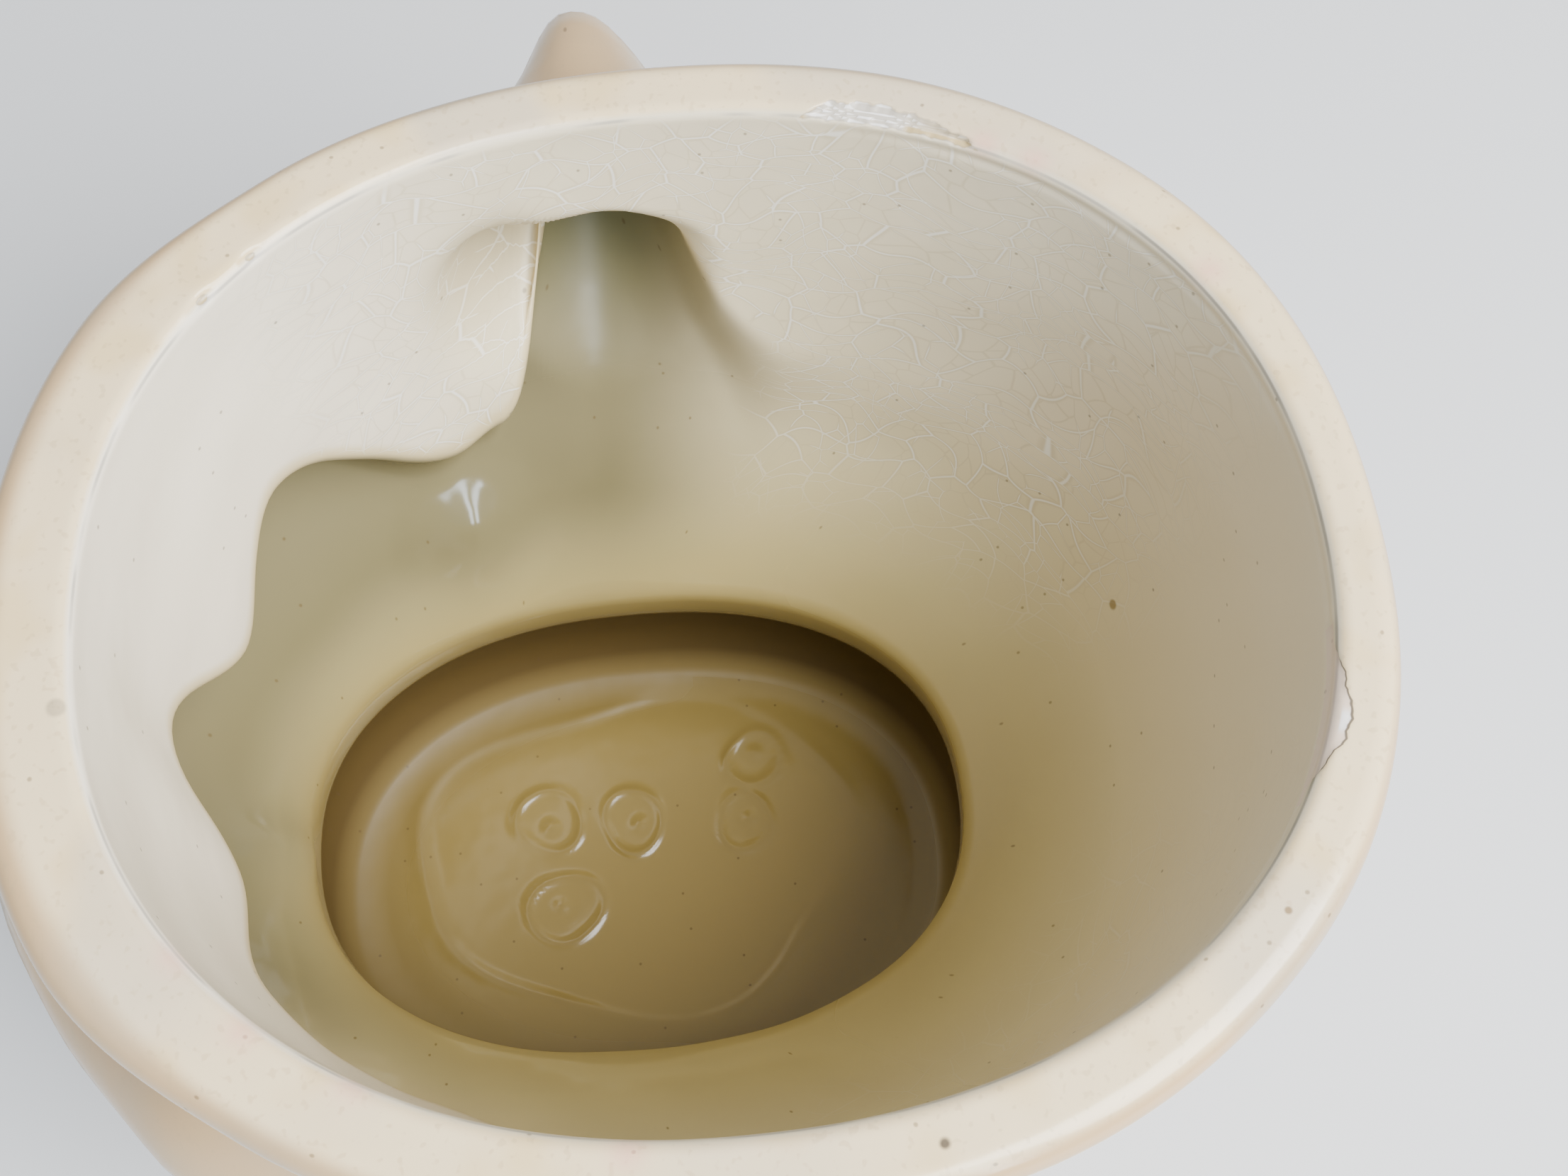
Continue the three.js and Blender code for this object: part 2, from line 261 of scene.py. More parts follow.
def head_heights(line, angle, top, bottom, close, upper, lower):
    """Heights of rows: a few close ones under the top, then to the seam and on to the bottom."""
    seam = line_height(line, angle)
    above = [np.full_like(seam, top - CLOSE_STEP * row) for row in range(close)]
    start = top - CLOSE_STEP * close
    above += [start + (seam + SEAM_REACH - start) * share for share in np.arange(upper) / upper]
    at_seam = [seam + SEAM_REACH * share for share in SEAM_SHARES]
    last_seam = seam - SEAM_REACH
    below = [last_seam + (bottom - last_seam) * (row / lower) ** ROW_SPREAD for row in range(1, lower + 1)]
    return np.array(above + at_seam + below)


def foot_rows(angle):
    """Rows from the recess in the underside over the foot's edge and up its curved waist."""
    rows = [oval(angle, RECESS_LENGTH * share, RECESS_WIDTH * share, NECK_SQUARENESS, 0, RECESS_DEPTH)
            for share in RECESS_SHARES]
    for turn in np.linspace(0, np.pi / 2, RECESS_EDGE_ROWS):
        grow = RECESS_DEPTH * np.sin(turn)
        rows.append(oval(angle, RECESS_LENGTH + grow, RECESS_WIDTH + grow, NECK_SQUARENESS, 0,
                         RECESS_DEPTH * np.cos(turn)))
    for turn in np.linspace(0, np.pi / 2, FOOT_EDGE_ROWS):
        inset = FOOT_EDGE * (1 - np.sin(turn))
        rows.append(oval(angle, FOOT_LENGTH - inset, FOOT_WIDTH - inset, NECK_SQUARENESS, 0,
                         FOOT_EDGE * (1 - np.cos(turn))))
    shoulder, waist = FOOT_TOP_Z - FOOT_FLARE, NECK_Z - BOWL_DROP
    for share in np.linspace(0, 1, WAIST_ROWS)[1:-1]:
        flare = np.cos(share * np.pi) / 2 + 0.5
        rows.append(oval(angle, NECK_LENGTH + WALL + (FOOT_LENGTH - NECK_LENGTH - WALL) * flare,
                         NECK_WIDTH + WALL + (FOOT_WIDTH - NECK_WIDTH - WALL) * flare,
                         NECK_SQUARENESS, 0, shoulder + (waist - shoulder) * share))
    return rows


def rim_rows(angle, band):
    """Rows over the rim: a quarter round, a flat seat and a smaller round, and how far across each is.

    The distance across is 0 at the inner edge, grows outwards and is less than 0 down the inside.
    """
    rows, across = [], []
    top = np.full_like(angle, RIM_Z)

    def seat(out, drop, inner_side):
        """Add the row a distance out from the inner edge and a drop under the rim's top."""
        row = head(angle, top, out, False)
        row[..., 2] = RIM_Z - drop
        rows.append(row)
        across.append(out - drop if inner_side else out + drop)

    for turn in np.linspace(0, np.pi / 2, ROUND_ROWS)[1:]:
        seat(band - RIM_OUTER_RADIUS * (1 - np.cos(turn)), RIM_OUTER_RADIUS * (1 - np.sin(turn)), False)
    for share in np.linspace(1, 0, SEAT_ROWS)[1:-1]:
        seat(RIM_INNER_RADIUS + (band - RIM_OUTER_RADIUS - RIM_INNER_RADIUS) * share, 0.0, False)
    for turn in np.linspace(np.pi / 2, 0, ROUND_ROWS)[:-1]:
        seat(RIM_INNER_RADIUS * (1 - np.cos(turn)), RIM_INNER_RADIUS * (1 - np.sin(turn)), True)
    return np.array(rows), np.array([np.broadcast_to(part, angle.shape) for part in across])


def floor_rows(angle):
    """Rows from the neck's lip out under it, round the corner and in across the flat floor."""
    length, width = FOOT_LENGTH - WALL, FOOT_WIDTH - WALL
    rows = [oval(angle, NECK_LENGTH, NECK_WIDTH, NECK_SQUARENESS, 0, NECK_Z - NECK_LIP * share)
            for share in (0.5, 1)]
    for share in np.linspace(0, 1, HOLLOW_ROWS)[1:]:
        flare = 0.5 - np.cos(share * np.pi) / 2
        rows.append(oval(angle, NECK_LENGTH + (length - NECK_LENGTH) * flare,
                         NECK_WIDTH + (width - NECK_WIDTH) * flare, NECK_SQUARENESS, 0,
                         FOOT_TOP_Z - FOOT_FLARE * share))
    for turn in np.linspace(0, np.pi / 2, CORNER_ROWS):
        inset = FLOOR_CORNER * (1 - np.cos(turn))
        rows.append(oval(angle, length - inset, width - inset, NECK_SQUARENESS, 0,
                         FLOOR_THICKNESS + FLOOR_CORNER * (1 - np.sin(turn))))
    for share in np.linspace(1, 0, FLOOR_ROWS + 1)[1:-1]:
        rows.append(oval(angle, (length - FLOOR_CORNER) * share, (width - FLOOR_CORNER) * share,
                         NECK_SQUARENESS, 0, FLOOR_THICKNESS))
    return rows


# Columns of the skin: even steps round the jar, about three times as close at the damage on the rim.
# The outside, the foot and the floor have every second column. A close-up has its middle and reach
# in degrees from the front, and how much denser its columns are.
COLUMNS, COLUMN_SAMPLES = 480, 7201
CLOSE_UPS = ((-114, 13, 2.4), (159, 9, 2.4), (-38, 5, 2.0), (-80, 14, 0.6), (80, 14, 0.3))
turn = np.linspace(-180, 180, COLUMN_SAMPLES)
density = 1 + sum(extra * (1 - ease(reach, reach + 3, np.abs(turn - middle)))
                  for middle, reach, extra in CLOSE_UPS)
total = np.concatenate([[0], np.cumsum((density[1:] + density[:-1]) / 2)])
degrees = np.interp(np.arange(COLUMNS) / COLUMNS * total[-1], total, turn)
angles = np.radians(degrees)
wide_angles = angles[::2]
band = RIM_BAND * wave_at(BAND_LINE, np.abs(degrees))
wide_band = band[::2]

outer_heights = head_heights(ROWS_OUTSIDE, wide_angles, RIM_Z - RIM_OUTER_RADIUS,
                             NECK_Z - BOWL_DROP, *OUTER_COUNTS)[::-1]
thickening = (wide_band - WALL) * ease(RIM_Z - RIM_BAND_DEPTH, RIM_Z - RIM_OUTER_RADIUS, outer_heights)
outer_rows = head(np.broadcast_to(wide_angles, outer_heights.shape), outer_heights,
                  WALL + thickening, True)
outside = np.concatenate([np.array(foot_rows(wide_angles)), outer_rows])
rim, rim_across = rim_rows(angles, band)
inner_heights = head_heights(SEAM_INSIDE, angles, RIM_Z - RIM_INNER_RADIUS, NECK_Z, *INNER_COUNTS)
inner_rows = head(np.broadcast_to(angles, inner_heights.shape), inner_heights, 0.0, False)
wall_rows = np.concatenate([rim, inner_rows])
bottom = np.array(floor_rows(wide_angles))

# Fine relief of the glaze, in millimetres out from the skin, with a degree about 1.45 mm long
MM_PER_DEGREE = 1.45
# What a field of distances holds where the thing it measures is far away
FAR = -99.0
# Chip on the far side of the rim: degrees from the front, and how far it bites across the rim
CHIP_LINE = ((-127, -124, -119, -113.5, -109, -104.5), (-2, 0.7, 2.3, 3.2, 2.6, -2))
CHIP_MIDDLE, CHIP_REACH = -115, 13
# How far it reaches down the inside, and how deep it is
CHIP_LOW, CHIP_DEPTH = 1.3, 0.9
# Its thin shells: step across the rim, drift along it, and drop from one to the next
SHELL_STEP, SHELL_FALL, SHELL_DROP = 1.5, 0.2, 0.45
# Flake that a crack runs round, at the back of the rim
FLAKE_LINE = ((152, 154, 157, 159.5, 162, 167), (-2, 0.3, 2.4, 2.7, 1.3, -2))
FLAKE_MIDDLE, FLAKE_REACH = 159.5, 9
FLAKE_LOW, FLAKE_SINK = 5.0, 0.22
# Nicks in the rim's inner edge: degrees from the front, width in degrees, and depth
NICKS = ((-41.2, 1.0, 0.7), (-34.7, 1.3, 0.8), (-18.9, 0.7, 0.5))
# Ring marks on the floor: middle, radius and height, measured from the foot's middle
RINGS = (((-13.7, -22.6), 7.3, 0.6), ((-11.8, -3.5), 7.1, 0.6), ((-9.2, 21.9), 6.4, 0.5),
         ((-24.1, 25.5), 6.4, 0.55), ((7.0, -20.0), 7.8, 0.65))
RING_WIDTH = 1.1
KNOB_WIDTH, KNOB_HEIGHT = 1.9, 0.6
# Dished oval on the floor: middle, half sizes, its ridge's height and width, and the step outside it
HOLLOW_MIDDLE, HOLLOW_HALF_X, HOLLOW_HALF_Y = (-5.0, -3.0), 37.0, 49.0
HOLLOW_RIDGE, HOLLOW_WIDTH, HOLLOW_STEP = 0.55, 1.8, 0.4
# Traces of pink paint left on the rim, from the middle of the jar's box
PINK_SPOTS = ((-64.7, 61.7), (-61.0, 68.9), (-38.9, 91.3), (46.8, -55.2), (56.7, -47.0),
              (64.1, -34.0), (75.3, -2.5))
PINK_WIDTH, PINK_STRENGTH = 2.2, 0.5
# Places where the glaze ran thick: place, way down the slope, reach along and across it, and height
POOLS = (((-57.0, -28.5, 71.0), (0.66, -0.36, -0.66), 13.0, 9.5, 3.4),
         ((3.0, -70.5, 66.0), (0.0, 0.66, -0.75), 11.0, 7.0, 2.8))
# Pocket's extra depth in millimetres, and the strength of the shade painted into it
POCKET_EXTRA, POCKET_SHADE = 2.5, 0.55
DEEP_SHADE = 0.35
CREASE_PLACE, CREASE_WIDTH, CREASE_DEPTH = 3.4, 0.8, 0.35


def bell(distance, width):
    """Bell curve: e to the power of minus the square of distance over width."""
    return np.exp(-(distance / width) ** 2)


def ripple(*waves):
    """Sum of sine waves of places, each divided by its wavelength and weighted."""
    return sum(weight * np.sin(2 * np.pi * place / length + start)
               for place, length, start, weight in waves)


def rim_damage(degrees, across):
    """Chip, flake and nicks on the rim's inner edge: distance into each, and the relief."""
    along = degrees * MM_PER_DEGREE
    jag = ripple((along, 4.3, 0, 0.18), (along, 1.9, 2, 0.1))
    chip = np.minimum(wave_at(CHIP_LINE, degrees) + jag - across, across + CHIP_LOW + jag)
    chip = np.where(np.abs(degrees - CHIP_MIDDLE) < CHIP_REACH, chip, -2)
    shell = np.mod((across - SHELL_FALL * along + ripple((along, 11, 0, 0.5))) / SHELL_STEP, 1)
    relief = -ease(-0.1, 0.9, chip) * (CHIP_DEPTH + SHELL_DROP * (shell - 0.5))
    jag = ripple((along, 3.1, 0, 0.12), (along, 1.3, 1, 0.08))
    flake = np.minimum(wave_at(FLAKE_LINE, degrees) + jag - across, across + FLAKE_LOW)
    flake = np.where(np.abs(degrees - FLAKE_MIDDLE) < FLAKE_REACH, flake, -2)
    relief -= FLAKE_SINK * ease(-0.2, 0.3, flake)
    for middle, width, depth in NICKS:
        relief -= depth * bell(degrees - middle, width) * bell(across, 1.0)
        aside = (degrees - middle) * MM_PER_DEGREE
        chip = np.maximum(chip, 0.8 * width - np.hypot(aside, across * 1.2))
    return chip, flake, shell, relief


def floor_relief(x, y):
    """Height of the rings, their knobs and the broken oval ridge on the floor."""
    relief = np.zeros_like(x)
    for index, ((middle_x, middle_y), radius, height) in enumerate(RINGS):
        away = np.hypot(x - middle_x, (y - middle_y) * (1 + 0.05 * np.sin(index)))
        bearing = np.arctan2(y - middle_y, x - middle_x)
        wobble = 0.5 * np.sin(2 * bearing + index) + 0.3 * np.sin(3 * bearing + 2 * index)
        broken = 0.75 + 0.25 * np.sin(bearing * 2 + 1.7 * index)
        relief += height * broken * bell(away - radius - wobble, RING_WIDTH)
        relief -= 0.6 * height * (1 - ease(0, radius, away))
        knob = np.hypot(x - middle_x - 1.2 * np.cos(index), y - middle_y - 1.4 * np.sin(index))
        relief += KNOB_HEIGHT * bell(knob, KNOB_WIDTH)
    from_x, from_y = (x - HOLLOW_MIDDLE[0]) / HOLLOW_HALF_X, (y - HOLLOW_MIDDLE[1]) / HOLLOW_HALF_Y
    bearing = np.arctan2(from_y, from_x)
    edge = np.hypot(from_x, from_y) - 1 - 0.05 * np.sin(3 * bearing + 1) - 0.04 * np.sin(5 * bearing)
    edge_mm = edge * (HOLLOW_HALF_X + HOLLOW_HALF_Y) / 2
    strength = 0.55 + 0.45 * np.sin(bearing * 2 - 0.8) * np.sin(bearing * 3 + 0.4)
    ridge = HOLLOW_RIDGE * strength * bell(edge_mm, HOLLOW_WIDTH)
    return relief + ridge + HOLLOW_STEP * ease(-3, 3, edge_mm)


def lifted(rows, relief):
    """Rows moved by the relief along the normals: the cross product of the steps round and up."""
    around = np.roll(rows, -1, 1) - np.roll(rows, 1, 1)
    along = np.gradient(rows, axis=0)
    normal = np.cross(around, along)
    normal /= np.maximum(np.linalg.norm(normal, axis=-1, keepdims=True), 1e-9)
    return rows + normal * relief[..., None]


inner_across = -(RIM_Z - inner_heights)
across = np.concatenate([rim_across, inner_across])
chip, flake, shell, relief = rim_damage(np.broadcast_to(degrees, across.shape), across)
x, y, z = np.moveaxis(wall_rows, -1, 0)
for place, slope, reach_along, reach_across, height in POOLS:
    offset = wall_rows - np.array(place)
    along = offset @ np.array(slope)
    aside = np.sqrt(np.maximum((offset ** 2).sum(-1) - along ** 2, 0))
    relief += height * bell(along, reach_along) * bell(aside, reach_across)
below_seam = np.concatenate([np.full(rim.shape[:2], FAR), line_height(SEAM_INSIDE, angles) - inner_heights])
hollow = np.hypot((y - HEAD_BACK + POCKET_FORWARD) / POCKET_HALF_WIDTH,
                  (z - RIM_Z + POCKET_PLACE * NECK_DEPTH) / POCKET_HALF_HEIGHT)
pocket = ease(1.3, 0.3, hollow) * ease(1, -3, below_seam)
relief -= POCKET_EXTRA * pocket
relief += (ripple((x + 0.6 * y, 31, 0, 0.09), (y - z, 23, 1, 0.08), (x - 0.4 * z, 17, 2, 0.05))
           * ease(0, 8, -across))
# Crease where the rim was trimmed, about 3 mm under its inner edge, round the back
crease_reach = ease(105, 130, np.abs(degrees)) * (1 - 0.5 * ease(150, 180, np.abs(degrees)))
relief -= CREASE_DEPTH * crease_reach * bell(across + CREASE_PLACE, CREASE_WIDTH)
wall_rows = lifted(wall_rows, relief)
# Painted shade towards the edge of the floor on its front half, under the neck's overhang
from_middle = np.hypot(bottom[..., 0] / (FOOT_WIDTH - WALL - FLOOR_CORNER),
                       bottom[..., 1] / (FOOT_LENGTH - WALL - FLOOR_CORNER))
deep_floor = (ease(0.74, 1.08, from_middle) * ease(FOOT_TOP_Z, FOOT_TOP_Z - 16, bottom[..., 2])
              * (1 - ease(-10, 40, bottom[..., 1])))
floor_height = floor_relief(bottom[..., 0], bottom[..., 1]) * (1 - ease(8.6, 12, bottom[..., 2]))
bottom[..., 2] += floor_height
x, y, z = np.moveaxis(outside, -1, 0)
outside_relief = (ripple((x + 0.5 * y, 37, 0, -0.1), (y - 0.8 * z, 29, 1, -0.08))
                  * ease(30, 45, z) * ease(2, 10, RIM_Z - z))
outside = lifted(outside, np.minimum(outside_relief, 0))


def closed_mesh(name, blocks, low_pole, high_pole):
    """Closed mesh of blocks of rings, from one pole to the other.

    Rings with as many points are joined by four-sided faces. Where a ring has twice as many points
    as the last, each of its pairs of steps shares one step of the coarser ring, by three triangles.
    """
    rings = [ring for block in blocks for ring in block]
    starts = np.cumsum([0] + [len(ring) for ring in rings])
    faces = []
    for start, following, ring, upper in zip(starts, starts[1:], rings, rings[1:]):
        count = min(len(ring), len(upper))
        here = np.arange(count)
        then = (here + 1) % count
        if len(ring) == len(upper):
            faces += np.stack([start + here, start + then, following + then, following + here], -1).tolist()
            continue
        rising = len(upper) > len(ring)
        coarse, fine = (start, following) if rising else (following, start)
        first, middle, last = fine + 2 * here, fine + 2 * here + 1, fine + 2 * then
        corners = ((coarse + here, middle, first), (coarse + here, coarse + then, middle),
                   (coarse + then, last, middle))
        for corner in corners:
            faces += np.stack(corner if rising else corner[::-1], -1).tolist()
    pole = starts[-1]
    low = np.arange(len(rings[0]))
    faces += np.stack([np.full(len(low), pole), (low + 1) % len(low), low], -1).tolist()
    high = np.arange(len(rings[-1]))
    last = starts[-2]
    faces += np.stack([np.full(len(high), pole + 1), last + high, last + (high + 1) % len(high)], -1).tolist()
    points = np.concatenate(rings + [np.array([low_pole, high_pole], float)]) * MM
    mesh = bpy.data.meshes.new(name)
    mesh.from_pydata(points.tolist(), [], faces)
    mesh.polygons.foreach_set("use_smooth", np.ones(len(faces), bool))
    mesh.update()
    return mesh


# The jar's box is centred over the origin from front to back
reach_y = (outside[..., 1].min(), outside[..., 1].max())
shift = -(reach_y[0] + reach_y[1]) / 2
for block in (outside, wall_rows, bottom):
    block[..., 1] += shift
floor_pole_height = FLOOR_THICKNESS + float(floor_height[-1].mean())
jar_mesh = closed_mesh("glazed_jar_body", (outside, wall_rows, bottom), (0, shift, RECESS_DEPTH),
                       (0, shift, floor_pole_height))
jar = bpy.data.objects.new("glazed_jar_body", jar_mesh)
bpy.context.scene.collection.objects.link(jar)


def add_field(name, on_outside, on_wall, on_floor, poles=(0, 0)):
    """Store one number on each point of the jar: on its three blocks and its two poles."""
    shapes = (outside.shape[:2], wall_rows.shape[:2], bottom.shape[:2])
    blocks = [np.ravel(np.broadcast_to(part, shape))
              for part, shape in zip((on_outside, on_wall, on_floor), shapes)]
    values = np.concatenate([*blocks, poles]).astype(np.float32)
    jar_mesh.attributes.new(name, "FLOAT", "POINT").data.foreach_set("value", values)


facing = np.abs(degrees)
craze = (ease(30, 50, facing) * ease(0.5, 5, -across) * (1 - ease(150, 176, facing))
         * ease(66, 96, wall_rows[..., 2]) * np.where(degrees < 0, 1, 0.3)
         * (1 - ease(-2, 1, below_seam) * (1 - ease(100, 112, facing))))
# Ear's hollow below the seam, where the glaze pools greener and shade is painted into it
lobe = np.hypot((wall_rows[..., 1] - shift - HEAD_BACK + EAR_FORWARD) / EAR_HALF_WIDTH,
                (wall_rows[..., 2] - RIM_Z + EAR_PLACE * NECK_DEPTH) / EAR_REACH_DOWN)
pool_and_shade = ease(1.0, 0.35, lobe) * ease(-3, 9, below_seam)
pink = sum(PINK_STRENGTH * bell(np.linalg.norm(wall_rows - np.array((*spot, RIM_Z)), axis=-1), PINK_WIDTH)
           for spot in PINK_SPOTS)
add_field("inside", 0, ease(-0.5, 0.5, -across), 1, (0, 1))
add_field("across_rim", FAR, across, FAR, (FAR, FAR))
add_field("below_seam", FAR, below_seam, -FAR, (FAR, -FAR))
add_field("chip", FAR, chip, FAR, (FAR, FAR))
add_field("flake", FAR, flake, FAR, (FAR, FAR))
add_field("shell", 0, shell, 0)
add_field("pool_and_shade", 0, pool_and_shade, 0)
add_field("pocket", 0, pocket * POCKET_SHADE, 0)
add_field("deep_floor", 0, 0, deep_floor * DEEP_SHADE)
add_field("crazing", 0, craze * (1 - 0.5 * pocket) * (1 - ease(0, 0.5, pool_and_shade)), 0)
add_field("facing", facing[::2], facing, facing[::2])
add_field("pink", 0, np.minimum(pink, PINK_STRENGTH), 0)
# Place along the wall in millimetres for the crazing and specks: how far round, and how far down
round_wall = [np.ravel(np.broadcast_to(part * MM_PER_DEGREE, block.shape[:2]))
              for part, block in ((degrees[::2], outside), (degrees, wall_rows))]
down_wall = (np.ravel(outside[..., 2]), np.ravel(-across))
on_wall = np.stack([np.concatenate(round_wall), np.concatenate(down_wall)], -1)
flat_place = np.concatenate([on_wall, bottom.reshape(-1, 3)[:, :2], np.zeros((2, 2))])
wall_place = np.pad(flat_place, ((0, 0), (0, 1))).astype(np.float32)
jar_mesh.attributes.new("wall_place", "FLOAT_VECTOR", "POINT").data.foreach_set("vector", wall_place.ravel())

# Glaze
# Clear, slightly yellow lead-type glaze over pale earthenware. It pools greener in the hollows,
# has shade painted darker into the hollows, down the bowl and on the floor, is crazed on the thick
# upper walls, and is dull along the handled rim.
# Tones of the inner wall, painted darker with depth as shade: height in metres and colour
DEPTH_SHADE_TONES = ((0.008, "A08A4E"), (0.013, "57441A"), (0.040, "57451A"), (0.056, "A8955C"),
               (0.066, "C2B27E"), (0.085, "E0D2A8"), (0.115, "E9DCBA"), (0.176, "E6D9BC"))
TONES_TOP = 0.2
# Painted light on the front and back walls, then the tan where the glaze is thin at the seam
PAINTED_LIGHT_TONE, PAINTED_BACK_LIGHT_TONE, EDGE_TONE = "F6EBD6", "F5EBD6", "CDB77E"
# Painted shade under the seam, greener glaze with painted shade in the ear's hollow, painted shade in the
# pocket and at the floor's edge
SHADE_TONE, POOL_AND_SHADE_TONE, POCKET_SHADE_TONE, DEEP_SHADE_TONE = "665F40", "6F6C46", "A8976A", "5E4A1B"
RIM_TONE, RIM_YELLOW, RIM_GREY, RIM_FLECK = "EFD8AC", "E3C587", "D8C7AC", "BBA27A"
WALL_TONE, WALL_GREY = "C8A87C", "B8A68A"
CRAZE_TONE, CRAZE_SHADE = "FFFDF6", "BFAE88"
SPECK_TONE, PINK_TONE = "5A4526", "E7A99A"
# Painted shade of a groove inside the rim, and darker at the back
GROOVE_SHADE_TONE, STEP_SHADE_TONE = "A39D92", "7F786A"
CLAY_TONE, CLAY_GREY, CLAY_STAIN, CHIP_OUTLINE = "F4F0EA", "C4BBAC", "BFA878", "9C8F7A"
FLAKE_TONE, CRACK_TONE = "EAD2C6", "4E463C"
# Single marks: place on the skin in metres, radius in millimetres, tone and strength
MARKS = (((0.0781, 0.0345, 0.176), 1.1, "4A4036", 0.9), ((0.0553, 0.0811, 0.176), 0.7, "7C6138", 0.8),
         ((0.0133, -0.0714, 0.176), 1.2, "83796B", 0.5), ((-0.0202, 0.0905, 0.094), 1.0, "8C7440", 0.8))

glaze = bpy.data.materials.new("clear_glaze_over_earthenware")
glaze.use_nodes = True
tree = glaze.node_tree
shader = tree.nodes["Principled BSDF"]
place = add_node(tree, "ShaderNodeTexCoord").outputs["Object"]
axes = add_node(tree, "ShaderNodeSeparateXYZ", {"Vector": place}).outputs
height = axes["Z"]


def field(name):
    """Number stored on the mesh's points under a name."""
    return add_node(tree, "ShaderNodeAttribute", attribute_name=name).outputs["Fac"]


def band_mask(value, start, end, top=1.0):
    """Smooth mask that goes from 0 at start to top at end, which may lie below start."""
    low_first = start < end
    ranged = {"Value": value, "From Min": min(start, end), "From Max": max(start, end),
              "To Min": 0.0 if low_first else top, "To Max": top if low_first else 0.0}
    return add_node(tree, "ShaderNodeMapRange", ranged, interpolation_type="SMOOTHSTEP").outputs["Result"]


def combine(operation, first, second):
    """Two numbers joined by a sum, difference, product or the like."""
    return add_node(tree, "ShaderNodeMath", {0: first, 1: second}, operation=operation).outputs["Value"]


def product(first, *others):
    """Masks multiplied together, so that the result is 1 only where all are."""
    for other in others:
        first = combine("MULTIPLY", first, other)
    return first


def tint(base, tone, mask):
    """Base colour with a tone laid over it where the mask is 1."""
    colour = linear(tone) if isinstance(tone, str) else tone
    mixed = {"Fac": mask, "Color1": base, "Color2": colour}
    return add_node(tree, "ShaderNodeMixRGB", mixed).outputs["Color"]


def noise(scale, detail=1.0):
    """Value noise with its blotches about one unit over the scale wide."""
    settings = {"Vector": place, "Scale": scale, "Detail": detail}
    return add_node(tree, "ShaderNodeTexNoise", settings).outputs["Fac"]


# Blotches about 36, 11 and 1.3 mm wide, and the fields stored on the mesh
broad, blotch, grain = noise(28.0), noise(95.0), noise(800.0)
inside, across_rim, below_seam_mm = field("inside"), field("across_rim"), field("below_seam")
chip_mm, flake_mm, craze_strength, facing = field("chip"), field("flake"), field("crazing"), field("facing")
pool_and_shade_share, deep_share, shell = field("pool_and_shade"), field("deep_floor"), field("shell")

# Inside: painted darker with depth as shade, painted near white above the seam in front as light,
# with painted shade and greener glaze under it and in the hollow.
# A mask grows over a range in degrees from the front, in millimetres below the seam, or in metres up.
ramp = add_node(tree, "ShaderNodeValToRGB", {"Fac": combine("DIVIDE", height, TONES_TOP)})
stops = ramp.color_ramp.elements
while len(stops) < len(DEPTH_SHADE_TONES):
    stops.new(0.5)
for stop, (level, tone) in zip(stops, DEPTH_SHADE_TONES):
    stop.position, stop.color = level / TONES_TOP, linear(tone)
above_seam = band_mask(below_seam_mm, 1.5, -3.0)
front = band_mask(facing, 72.0, 35.0)
# Front wall above the seam painted near white as the light falling on it
inner = tint(ramp.outputs["Color"], PAINTED_LIGHT_TONE, product(above_seam, front))
# Painted shade under the seam at the front and sides, away from the near side, where the glaze is also
# greener
below = product(band_mask(below_seam_mm, -2.0, 7.0), band_mask(facing, 118.0, 80.0))
low_and_far = product(below, band_mask(height, 0.05, 0.075), band_mask(axes["X"], 0.060, 0.025))
inner = tint(inner, SHADE_TONE, product(low_and_far, 0.9))
# Greener pooled glaze and painted shade in the ear's hollow
inner = tint(inner, POOL_AND_SHADE_TONE, product(pool_and_shade_share, 0.85))
# Painted shade in the pocket's hollow
inner = tint(inner, POCKET_SHADE_TONE, field("pocket"))
# Painted shade at the floor's front edge
inner = tint(inner, DEEP_SHADE_TONE, deep_share)
# Back wall painted lighter as the light falling on it
back_light = product(band_mask(facing, 105.0, 150.0, 0.5), band_mask(height, 0.085, 0.130))
inner = tint(inner, PAINTED_BACK_LIGHT_TONE, back_light)
seam_edge = product(band_mask(below_seam_mm, -4.0, -0.5), band_mask(below_seam_mm, 3.5, 0.5),
                    band_mask(facing, 100.0, 84.0))
inner = tint(inner, EDGE_TONE, product(seam_edge, 0.5))

# Rim and outside: cream with yellow and grey mottling, tan and grey lower down the wall
outer = tint(linear(RIM_TONE), RIM_YELLOW, product(band_mask(blotch, 0.5, 0.72), 0.5))
outer = tint(outer, RIM_GREY, product(band_mask(broad, 0.50, 0.64), 0.75))
lower = combine("MAXIMUM", band_mask(height, 0.174, 0.164), band_mask(across_rim, 7.8, 11.2))
outer = tint(outer, WALL_TONE, lower)
outer = tint(outer, WALL_GREY, product(lower, band_mask(broad, 0.45, 0.7)))
outer = tint(outer, RIM_FLECK, product(band_mask(grain, 0.60, 0.72), 0.30))
colour = tint(outer, inner, inside)

# Crazing: long curved cracks with finer ones across them, in millimetres round and down the wall.
# A layer has its turn in radians, its stretch along the cracks and its cell in millimetres. The
# real cracks look about 0.1 mm wide, and these are drawn about 0.3 mm wide so that they show.
CRAZE_LAYERS = ((0.5, 0.5, 5.6), (-0.35, 0.8, 4.2))
CRAZE_BEND = (12.0, 12.0, 0.0)
CRAZE_BEND_SCALE = 0.05
wall_place = add_node(tree, "ShaderNodeAttribute", attribute_name="wall_place").outputs["Vector"]
bend = add_node(tree, "ShaderNodeTexNoise", {"Vector": wall_place, "Scale": CRAZE_BEND_SCALE, "Detail": 0.0},
                noise_dimensions="2D").outputs["Color"]
bent = add_node(tree, "ShaderNodeVectorMath", {0: bend, 1: CRAZE_BEND, 2: wall_place},
                operation="MULTIPLY_ADD").outputs["Vector"]
from_crack = []
